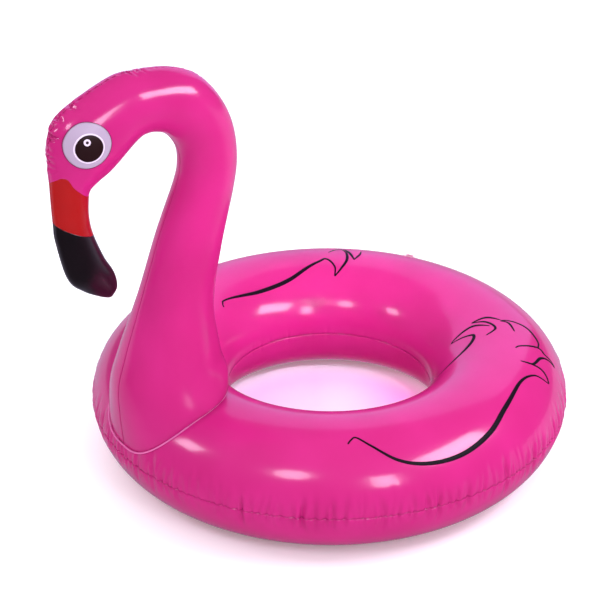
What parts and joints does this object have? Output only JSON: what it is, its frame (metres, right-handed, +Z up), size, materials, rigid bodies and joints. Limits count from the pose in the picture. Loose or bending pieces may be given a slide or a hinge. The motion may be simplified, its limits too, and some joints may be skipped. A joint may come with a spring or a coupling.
{
  "type": "inflatable pool float",
  "caption": "Blown-up swim ring with a curved bird's neck and hooked beak, printed eyes and wings, and push-in air valves.",
  "frame": {"origin": "middle of the float's outline on the floor, at floor level", "axes": "+Z up, -X forward to the beak, +Y to the float's right-hand side; Y = 0 is the plane of symmetry"},
  "size_m": [1.0252, 0.92, 0.8484],
  "materials": {
    "pink_film": "glossy, slightly see-through hot-pink vinyl film",
    "red_film": "glossy vinyl film printed red",
    "black_film": "glossy vinyl film printed black",
    "white_ink": "white print under a glossy film surface",
    "dark_ink": "black-brown print under a glossy film surface",
    "valve_moulding": "soft see-through pink moulding"
  },
  "bodies": {
    "float_body": {"ring_top_panel": "pink_film", "ring_bottom_panel": "pink_film", "neck_left_panel": "pink_film", "neck_right_panel": "pink_film", "beak_red_left": "red_film", "beak_red_right": "red_film", "beak_tip_left": "black_film", "beak_tip_right": "black_film", "eye_white_left": "white_ink", "eye_white_right": "white_ink", "pupil_left": "dark_ink", "pupil_right": "dark_ink", "ring_valve_base": "valve_moulding", "neck_valve_base": "valve_moulding"},
    "ring_valve_stem": {"ring_valve_stem": "valve_moulding", "ring_valve_tether": "valve_moulding"},
    "ring_valve_cap": {"ring_valve_cap": "valve_moulding"},
    "ring_valve_flap": {"ring_valve_flap": "valve_moulding"},
    "neck_valve_stem": {"neck_valve_stem": "valve_moulding", "neck_valve_tether": "valve_moulding"},
    "neck_valve_cap": {"neck_valve_cap": "valve_moulding"},
    "neck_valve_flap": {"neck_valve_flap": "valve_moulding"}
  },
  "joints": [
    {"name": "ring_valve_pull_out", "type": "slide", "parent": "float_body", "child": "ring_valve_stem", "axis": [0.4177, 0.2412, 0.876], "range_m": [0, 0.0135]},
    {"name": "ring_valve_uncap", "type": "slide", "parent": "ring_valve_stem", "child": "ring_valve_cap", "axis": [0.4177, 0.2412, 0.876], "range_m": [0, 0.009], "deforming": ["ring_valve_tether"]},
    {"name": "ring_valve_check_flap", "type": "hinge", "parent": "ring_valve_stem", "child": "ring_valve_flap", "pos_m": [0.38466, 0.19174, 0.19557], "axis": [-0.5, 0.866, 0], "range_deg": [0, 50], "stiffness_Nm_per_rad": 0.002},
    {"name": "neck_valve_pull_out", "type": "slide", "parent": "float_body", "child": "neck_valve_stem", "axis": [0, 0.9976, 0.0698], "range_m": [0, 0.0135]},
    {"name": "neck_valve_uncap", "type": "slide", "parent": "neck_valve_stem", "child": "neck_valve_cap", "axis": [0, 0.9976, 0.0698], "range_m": [0, 0.009], "deforming": ["neck_valve_tether"]},
    {"name": "neck_valve_check_flap", "type": "hinge", "parent": "neck_valve_stem", "child": "neck_valve_flap", "pos_m": [-0.27744, 0.03494, 0.45], "axis": [0, 0.0698, -0.9976], "range_deg": [0, 50], "stiffness_Nm_per_rad": 0.002}
  ]
}
